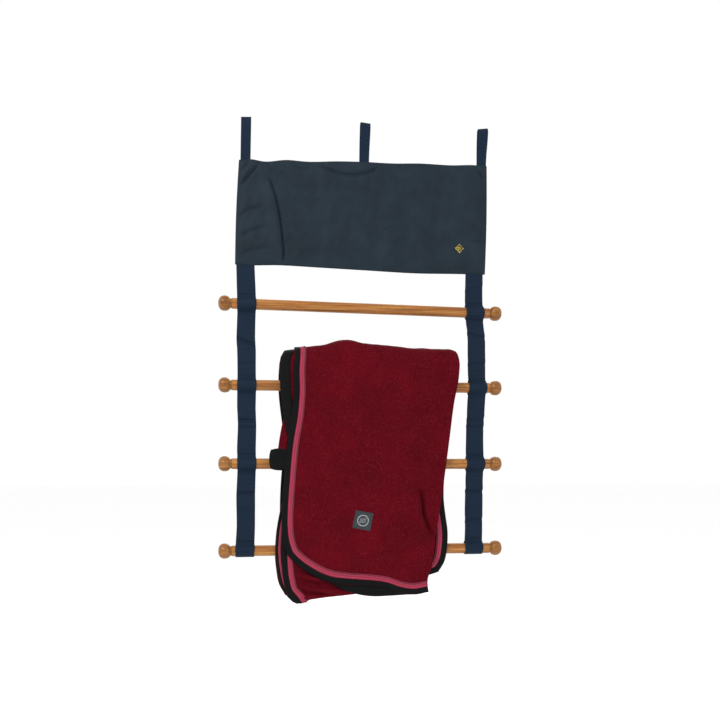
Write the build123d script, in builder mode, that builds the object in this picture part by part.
"""Hanging rug rack with a folded fleece horse rug on it.

Millimetres, +Z up. X runs along the poles, +Y points to the wall behind the rack. The origin is the
hook seat of the centre hanging loop. The straps and the poles hang in the plane Y = 0.
"""

import os
from math import radians, sqrt, tan

from build123d import *

os.makedirs("parts", exist_ok=True)

# ---- webbing -------------------------------------------------------------------------------------
tape = 1.6  # thickness of one layer of webbing
doubled = 2 * tape  # two layers sewn together
loop_width = 26.0
loop_x = {"left": -311.0, "centre": 0.0, "right": 318.0}
loop_bend = 9.0  # inside radius of the round a hook sits in
loop_tail = 45.0  # length sewn in below the header's top edge
loop_neck = 6.0  # height over the header's top edge where the two legs of a loop part
slit = 0.2  # gap between two layers where they start to part
strap_width = 48.0
strap_x = {"left": -310.0, "right": 302.0}
strap_tail = 45.0  # length sewn in above the header's bottom edge

# ---- header: two cloths round an interlining -------------------------------------------------------
cloth = 1.2
header_top = [(-327, -110), (-170, -106), (0, -101), (170, -99), (332, -97)]
header_bottom = [(327, -389), (150, -391), (0, -387), (-228, -380), (-337, -381)]
header_top_z = {"left": -109.6, "centre": -101.0, "right": -97.0}
seam_allowance = 6.0  # the interlining stops this far inside the cloths' edge
tail_room = 1.0  # width and height of a cut-out beyond the tail it takes
emblem_side = 15.0
emblem_ring = 3.0  # width of the stitched outline
emblem_at = (257.0, -322.0)
emblem_height = 0.8

# ---- lines that the straps fold at -----------------------------------------------------------------
header_fold_z = -398.0
strap_fold_z = -521.0
fold_gap = 3.0  # from a fold line to the webbing on each side of it

# ---- poles and knobs -------------------------------------------------------------------------------
pole_r = 14.0
pole_length = 684.0
pole_x = -4.0  # middle of each pole
pole_z = [-488.0, -694.0, -898.0, -1124.0]
pole_tilt = [0.9, 0.0, 0.0, 0.0]  # degrees, right end down
tunnel_r = 14.8  # inside of the webbing round a pole
tunnel_reach = 22.0  # from a pole's axis to the seams above and below it
knob_r = 19.8
knob_foot_r = 12.5  # flat foot against the pole's end
glue = 0.05  # radial room for a glued or screwed fit
tenon_r = 6.0
tenon_length = 16.0
stud_r = 3.95  # M8 hanger bolt, thread crests as a plain cylinder
stud_in_pole = 40.0
stud_in_knob = 14.0
insert_r = 5.5
insert_length = 13.0
insert_clear = 2.0  # depth of the knob's bore beyond the insert

# ---- rug: four layers of fleece folded together and hung over the second pole ----------------------
flap_inner = 15.2  # half the gap between the front and back flaps
flap_outer = 42.0
shoulder_z = -640.0  # where the flaps start to round over into the crest
crest_z = -572.0
flap_drop = 700.0
saddle_r = 14.4  # inside of the fleece round the pole
saddle_drop = 10.0  # from the pole's axis down to where the gap opens to its full width
rug_reach = 300.0
rug_left = [(-203, -605), (-221, -650), (-217, -775), (-212, -900), (-222, -1030), (-235, -1125)]
rug_left += [(-227, -1190), (-212, -1233), (-188, -1256)]
rug_bottom = [(-140, -1256), (-80, -1248), (20, -1247), (95, -1243), (163, -1242)]
rug_corner = [(172, -1205), (192, -1190), (213, -1158), (221, -1110), (217, -1040), (205, -985)]
rug_right = [(222, -815), (235, -725), (244, -650), (246, -625)]
rug_top = [(235, -595), (120, -593), (22, -582), (-33, -572.5), (-110, -588)]
binding_width = 14.0
inset_runs = 120  # straight runs in an outline that is moved inwards
braid_width = 16.0
braid_height = 1.4
label_width = 47.0
label_height = 46.0
label_at = (-8.0, -1046.0)
label_turn = -11.0
label_thick = 0.8
closure_y = 26.0  # how far in front of the poles the chest closure lies
chest_strap_outline = [(-205, -780), (-216, -792), (-230, -863), (-200, -863)]
chest_strap_thick = 3.0
chest_tab_outline = [(-200, -863.5), (-240, -863.5), (-246, -870), (-246, -900), (-238, -910), (-200, -910)]
chest_tab_thick = 6.0
# region of the outline whose edge is bound
bound_window = [(-400, -580), (-120, -580), (-150, -1100), (150, -1175), (150, -960), (400, -960)]
bound_window += [(400, -1400), (-400, -1400)]


def finish(part, name):
    """Label a finished piece and write it to its own file."""
    part.label = name
    export_step(part, "parts/" + name + ".step")


def tunnel_z(side, i):
    """Height of pole i where it passes through the strap on this side."""
    return pole_z[i] - (strap_x[side] - pole_x) * tan(radians(pole_tilt[i]))


# ---- header panel ----------------------------------------------------------------------------------
def draw_header(inset=0.0):
    """Outline of the header panel, seen from the front: soft top and bottom edges, straight sides."""
    narrow = 1 - inset / header_top[-1][0]
    top = [(x * narrow, z - inset) for x, z in header_top]
    bottom = [(x * narrow, z + inset) for x, z in header_bottom]
    with BuildLine() as outline:
        Spline(*top)
        Line(top[-1], bottom[0])
        Spline(*bottom)
        Line(bottom[-1], top[0])
    make_face(outline.edges())


with BuildPart() as header_front_cloth:
    with BuildSketch(Plane.XZ.offset(tape)):
        draw_header()
    extrude(amount=cloth)
finish(header_front_cloth.part, "header_front_cloth")

with BuildPart() as header_back_cloth:
    with BuildSketch(Plane.XZ.offset(-tape)):
        draw_header()
    extrude(amount=-cloth)
finish(header_back_cloth.part, "header_back_cloth")

# the interlining lies in one plane with the sewn-in webbing and is cut out round each tail
with BuildPart() as header_interlining:
    with BuildSketch(Plane.XZ):
        draw_header(seam_allowance)
        for side, x in loop_x.items():
            with Locations((x, header_top_z[side] - loop_tail / 2)):
                Rectangle(loop_width + tail_room, loop_tail + tail_room, mode=Mode.SUBTRACT)
        for side, x in strap_x.items():
            with Locations((x, header_fold_z + fold_gap + strap_tail / 2)):
                Rectangle(strap_width + tail_room, strap_tail + tail_room, mode=Mode.SUBTRACT)
    extrude(amount=tape, both=True)
finish(header_interlining.part, "header_interlining")

with BuildPart() as header_emblem:
    with BuildSketch(Plane.XZ.offset(tape + cloth)):
        with Locations(emblem_at):
            Rectangle(emblem_side, emblem_side, rotation=45)
            hole = emblem_side - 2 * emblem_ring
            Rectangle(hole, hole, rotation=45, mode=Mode.SUBTRACT)
    extrude(amount=emblem_height)
finish(header_emblem.part, "header_emblem")


# ---- hanging loops: one tape folded over a hook, its two tails sewn into the header ----------------
for side, x in loop_x.items():
    mouth_z = header_top_z[side] + loop_neck
    tail_z = header_top_z[side] - loop_tail
    with BuildPart() as loop:
        with BuildSketch(Plane.YZ.offset(x)) as outside:
            with Locations((0, -loop_bend)):
                Circle(loop_bend + tape)
            with Locations((0, mouth_z)):
                Rectangle(doubled, slit)
            make_hull()
        extrude(amount=loop_width / 2, both=True)
        with BuildSketch(Plane.YZ.offset(x)) as inside:
            with Locations((0, -loop_bend)):
                Circle(loop_bend)
            with Locations((0, mouth_z + tape)):
                Rectangle(slit, slit)
            make_hull()
        extrude(amount=loop_width / 2, both=True, mode=Mode.SUBTRACT)
        with BuildSketch(Plane.YZ.offset(x)) as tail:
            with Locations((0, (mouth_z + tail_z) / 2)):
                Rectangle(doubled, mouth_z - tail_z)
        extrude(amount=loop_width / 2, both=True)
    finish(loop.part, "hanging_loop_" + side)


# ---- suspension straps: tape doubled on itself, open round each pole -------------------------------
def sew_tunnel(side, i, closed_end=False):
    """Open the doubled webbing round pole i. A closed end has no seam under the pole."""
    z = tunnel_z(side, i)
    low = 0 if closed_end else tunnel_reach
    for layers, width, mode in [(tape, doubled, Mode.ADD), (0, slit, Mode.SUBTRACT)]:
        with BuildSketch(Plane.YZ.offset(strap_x[side])) as lens:
            with Locations((0, z)):
                Circle(tunnel_r + layers)
            with Locations((0, z + (tunnel_reach - low) / 2)):
                Rectangle(width, tunnel_reach + low)
            make_hull()
        extrude(lens.sketch, amount=strap_width / 2, both=True, mode=mode)


def lay_webbing(side, z_low, z_high):
    """A flat doubled stretch of the strap."""
    with BuildSketch(Plane.YZ.offset(strap_x[side])) as flat:
        with Locations((0, (z_low + z_high) / 2)):
            Rectangle(doubled, z_high - z_low)
    extrude(flat.sketch, amount=strap_width / 2, both=True)


for side in strap_x:
    with BuildPart() as strap_tail_piece:
        lay_webbing(side, header_fold_z + fold_gap, header_fold_z + fold_gap + strap_tail)
    finish(strap_tail_piece.part, side + "_strap_tail")

    with BuildPart() as strap_upper:
        lay_webbing(side, strap_fold_z + fold_gap, header_fold_z - fold_gap)
        sew_tunnel(side, 0)
    finish(strap_upper.part, side + "_strap_upper")

    with BuildPart() as strap_lower:
        lay_webbing(side, tunnel_z(side, 3), strap_fold_z - fold_gap)
        sew_tunnel(side, 1)
        sew_tunnel(side, 2)
        sew_tunnel(side, 3, closed_end=True)
    finish(strap_lower.part, side + "_strap_lower")


# ---- poles: a dowel, a glued knob on the left, a screwed knob on the right --------------------------
knob_centre = sqrt(knob_r**2 - knob_foot_r**2)
knob_length = knob_centre + knob_r


def turn_knob(bore_r, bore_length):
    """A ball knob turned on its own X axis, foot at the origin, with a blind hole in the foot."""
    shoulder = (knob_centre, knob_r)
    with BuildSketch(Plane.XZ) as profile:
        with BuildLine():
            Polyline((0, knob_foot_r), (0, bore_r), (bore_length, bore_r), (bore_length, 0), (knob_length, 0))
            ThreePointArc((0, knob_foot_r), shoulder, (knob_length, 0))
        make_face()
    revolve(profile.sketch, axis=Axis.X)


for i in range(4):
    number = str(i + 1)
    half = pole_length / 2
    # each pole is turned on a frame whose X axis is the pole's own axis
    axis = Plane(
        origin=(pole_x, 0, pole_z[i]),
        x_dir=Vector(1, 0, -tan(radians(pole_tilt[i]))),
        z_dir=(0, -1, 0),
    )
    place = axis.location

    with BuildPart() as pole:
        with BuildSketch(Plane.XZ):
            with BuildLine():
                Polyline(
                    (-half - tenon_length, 0),
                    (-half - tenon_length, tenon_r),
                    (-half, tenon_r),
                    (-half, pole_r),
                    (half, pole_r),
                    (half, stud_r + glue),
                    (half - stud_in_pole, stud_r + glue),
                    (half - stud_in_pole, 0),
                    close=True,
                )
            make_face()
        revolve(axis=Axis.X)
    with BuildPart() as fixed_knob:
        turn_knob(tenon_r + glue, tenon_length)
    with BuildPart() as stud:
        Cylinder(stud_r, stud_in_pole + stud_in_knob, rotation=(0, 90, 0))
    with BuildPart() as screw_knob:
        turn_knob(insert_r + glue, insert_length + insert_clear)
    with BuildPart() as insert:
        Cylinder(insert_r, insert_length, rotation=(0, 90, 0))
        Cylinder(stud_r + glue, insert_length, rotation=(0, 90, 0), mode=Mode.SUBTRACT)

    upright = Plane.XZ.location.inverse()
    pieces = {
        "pole_" + number: pole.part,
        "fixed_knob_" + number: Pos(-half, 0, 0) * Rot(0, 180, 0) * fixed_knob.part,
        "pole_stud_" + number: Pos(half + (stud_in_knob - stud_in_pole) / 2, 0, 0) * stud.part,
        "screw_knob_" + number: Pos(half, 0, 0) * screw_knob.part,
        "knob_insert_" + number: Pos(half + insert_length / 2, 0, 0) * insert.part,
    }
    for name, piece in pieces.items():
        finish(place * upright * piece, name)


# ---- rug --------------------------------------------------------------------------------------------
# Flat outlines, seen from the front. The bound edge runs round the open side and the bottom of the
# stack; the top and the right side above the lower corner are folds and have no binding.
with BuildSketch() as rug_outline:
    with BuildLine():
        Spline(*rug_left, *rug_bottom[:1])
        Spline(*rug_bottom)
        Spline(rug_bottom[-1], *rug_corner)
        Spline(rug_corner[-1], *rug_right)
        Spline(rug_right[-1], *rug_top, rug_left[0])
    make_face()

with BuildSketch() as bound_side:
    with BuildLine():
        Polyline(*bound_window, close=True)
    make_face()


def draw_inside(inset):
    """The rug's outline, moved inwards and redrawn as short straight runs."""
    with BuildSketch() as smaller:
        add(rug_outline.sketch)
        offset(amount=-inset, mode=Mode.REPLACE)
    edge = smaller.sketch.face().outer_wire()
    with BuildLine() as runs:
        Polyline([edge.position_at(k / inset_runs) for k in range(inset_runs)], close=True)
    make_face(runs.edges())


with BuildSketch() as inside_binding:
    draw_inside(binding_width)

with BuildSketch() as inside_braid:
    draw_inside(binding_width + braid_width)

with BuildSketch() as binding_outline:
    add(rug_outline.sketch)
    add(inside_binding.sketch, mode=Mode.SUBTRACT)
    add(bound_side.sketch, mode=Mode.INTERSECT)

with BuildSketch() as fleece_outline:
    add(rug_outline.sketch)
    add(binding_outline.sketch, mode=Mode.SUBTRACT)

with BuildSketch() as braid_outline:
    add(inside_binding.sketch)
    add(inside_braid.sketch, mode=Mode.SUBTRACT)
    add(bound_side.sketch, mode=Mode.INTERSECT)
    with Locations((0, shoulder_z + rug_reach)):
        Rectangle(2 * rug_reach, 2 * rug_reach, mode=Mode.SUBTRACT)

# section of the stack: a crest over the pole and a flap down each side of it
with BuildSketch(Plane.YZ) as stack_section:
    with Locations((0, shoulder_z)):
        Ellipse(flap_outer, crest_z - shoulder_z)
    with Locations((0, shoulder_z - flap_drop / 2)):
        Rectangle(2 * flap_outer, flap_drop)
    with Locations((0, pole_z[1])):
        Circle(saddle_r, mode=Mode.SUBTRACT)
    with Locations((0, pole_z[1] - saddle_drop - flap_drop / 2)):
        Rectangle(2 * flap_inner, flap_drop, mode=Mode.SUBTRACT)

for name, outline in [("rug_fleece", fleece_outline), ("rug_binding", binding_outline)]:
    with BuildPart() as layers:
        extrude(stack_section.sketch, amount=rug_reach, both=True)
        with BuildSketch(Plane.XZ.offset(-2 * flap_outer)) as front:
            add(outline.sketch)
        extrude(front.sketch, amount=4 * flap_outer, mode=Mode.INTERSECT)
    finish(layers.part, name)

# the braid is sewn on the outer faces of the flaps, just inside the binding
with BuildPart() as rug_braid:
    for face_y, outward in [(flap_outer, 1), (-flap_outer, -1)]:
        with BuildSketch(Plane.XZ.offset(face_y)) as flat:
            add(braid_outline.sketch)
        extrude(flat.sketch, amount=outward * braid_height)
finish(rug_braid.part, "rug_braid")

with BuildPart() as rug_label:
    with BuildSketch(Plane.XZ.offset(flap_outer)):
        with Locations(label_at):
            Rectangle(label_width, label_height, rotation=label_turn)
    extrude(amount=label_thick)
finish(rug_label.part, "rug_label")

# the chest closure lies between the layers; its strap and its end tab stand out at the open side
for name, points, thick in [
    ("rug_chest_strap", chest_strap_outline, chest_strap_thick),
    ("rug_chest_tab", chest_tab_outline, chest_tab_thick),
]:
    with BuildPart() as closure:
        with BuildSketch(Plane.XZ.offset(closure_y)):
            with BuildLine():
                Polyline(*points, close=True)
            make_face()
            add(rug_outline.sketch, mode=Mode.SUBTRACT)
        extrude(amount=thick / 2, both=True)
    finish(closure.part, name)
